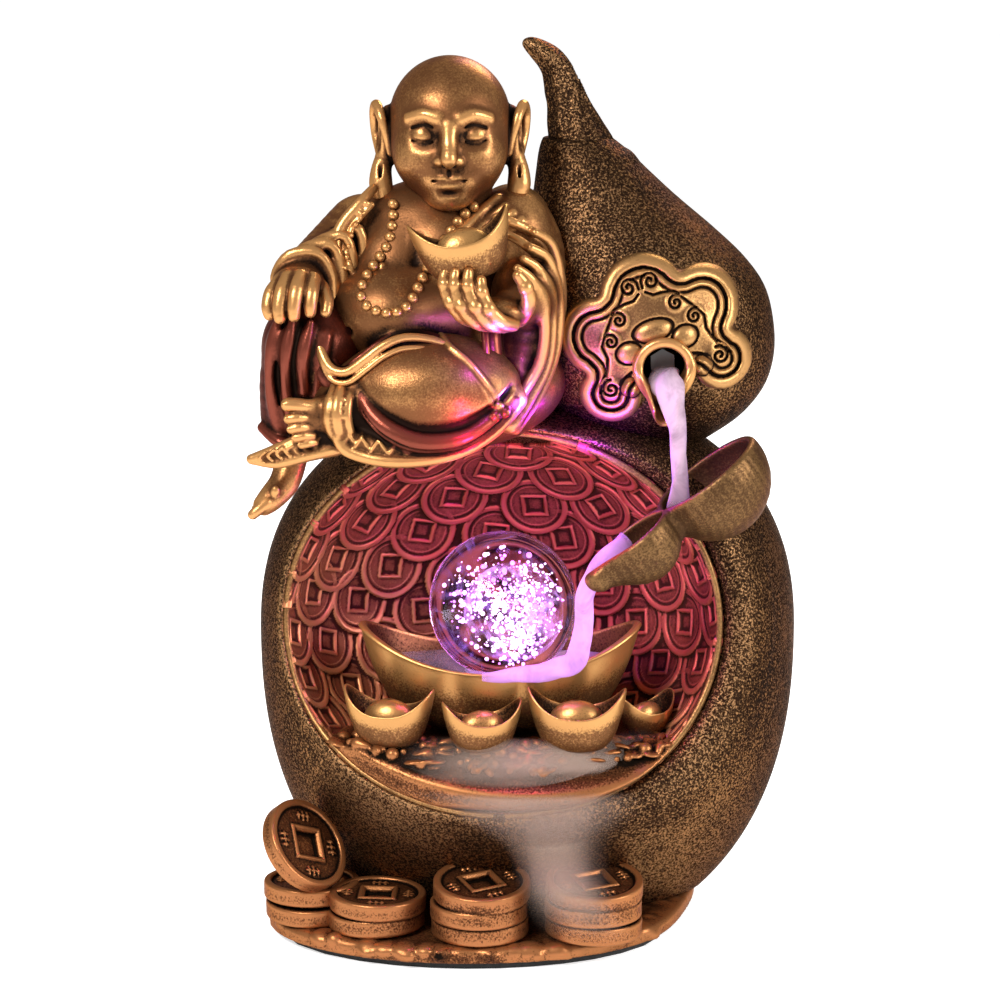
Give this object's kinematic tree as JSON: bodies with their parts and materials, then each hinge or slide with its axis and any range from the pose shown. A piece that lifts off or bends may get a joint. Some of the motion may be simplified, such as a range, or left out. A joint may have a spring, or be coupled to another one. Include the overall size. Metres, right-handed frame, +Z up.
{
  "type": "tabletop water fountain",
  "caption": "Tabletop fountain shaped as a double gourd with a seated figure, a coin-lined grotto, a pouring spout and ladle, and an ingot bowl with a turning lit ball.",
  "frame": {"origin": "centre of the underside of the base pad", "axes": "+Z up, the grotto's mouth and the figure face -Y, +X is the viewer's right"},
  "size_m": [0.1846, 0.1557, 0.302],
  "materials": {
    "speckled_bronze": "polyresin, dark bronze paint with gold speckle",
    "gold_bronze": "polyresin, antiqued gold bronze paint",
    "red_bronze": "polyresin, copper red paint, coin relief",
    "crystal": "clear with bubbles",
    "black_plastic": "satin",
    "grey_plastic": "satin",
    "clear_hose": "soft clear vinyl",
    "rubber": "matte",
    "led_lens": "clear, lit",
    "circuit_green": "solder mask",
    "steel": "brushed",
    "ceramic": "fired"
  },
  "bodies": {
    "casing": {"ball_seat": "grey_plastic", "base_pad": "rubber", "bead_necklace": "gold_bronze", "coin_leaning": "gold_bronze", "coin_stack_far_left": "gold_bronze", "coin_stack_left": "gold_bronze", "coin_stack_middle": "gold_bronze", "coin_stack_right": "gold_bronze", "control_board": "circuit_green", "control_box": "black_plastic", "delivery_hose": "clear_hose", "drain_grate": "steel", "figure_folded_leg": "gold_bronze", "figure_hanging_leg": "gold_bronze", "figure_head": "gold_bronze", "figure_left_arm": "gold_bronze", "figure_right_arm": "gold_bronze", "figure_torso": "gold_bronze", "gourd_ladle": "gold_bronze", "gourd_lower_shell": "speckled_bronze", "gourd_upper_shell": "speckled_bronze", "grotto_liner": "red_bronze", "held_ingot": "gold_bronze", "ingot_bowl": "gold_bronze", "ingot_far_right": "gold_bronze", "ingot_left": "gold_bronze", "ingot_middle": "gold_bronze", "ingot_right": "gold_bronze", "inlet_nut": "steel", "led_lead": "rubber", "led_lens": "led_lens", "led_module": "circuit_green", "mist_disc": "ceramic", "mist_disc_ring": "gold_bronze", "mist_lead": "rubber", "mist_maker": "steel", "plinth": "gold_bronze", "power_inlet": "black_plastic", "pump_body": "black_plastic", "pump_intake_cover": "grey_plastic", "pump_lead": "rubber", "pump_outlet": "black_plastic", "reservoir_tub": "black_plastic", "ruyi_plaque": "gold_bronze", "socket_panel": "black_plastic", "spout": "gold_bronze", "stem": "speckled_bronze", "suction_cup_1": "rubber", "suction_cup_2": "rubber", "suction_cup_3": "rubber", "suction_cup_4": "rubber", "switch_housing": "black_plastic", "treasure_ledge": "gold_bronze"},
    "ball": {"crystal_ball": "crystal"},
    "rotor": {"pump_rotor": "ceramic"},
    "flow_control": {"flow_slider": "black_plastic"},
    "door": {"rear_door": "speckled_bronze"},
    "rocker": {"light_rocker": "grey_plastic"}
  },
  "joints": [
    {"name": "ball_spin", "type": "hinge", "parent": "casing", "child": "ball", "pos_m": [-0.007, -0.029, 0.113], "axis": [0, 0, 1], "continuous": true},
    {"name": "rotor_spin", "type": "hinge", "parent": "casing", "child": "rotor", "pos_m": [0.014, 0.002, 0.0253], "axis": [1, 0, 0], "continuous": true},
    {"name": "flow_adjust", "type": "slide", "parent": "casing", "child": "flow_control", "axis": [0, 1, 0], "range_m": [0, 0.006]},
    {"name": "door_pull", "type": "slide", "parent": "casing", "child": "door", "axis": [0, 1, 0], "range_m": [0, 0.06]},
    {"name": "rocker_tilt", "type": "hinge", "parent": "casing", "child": "rocker", "pos_m": [0.0135, 0.0541, 0.028], "axis": [0, 0, 1], "range_deg": [-12, 12]}
  ]
}
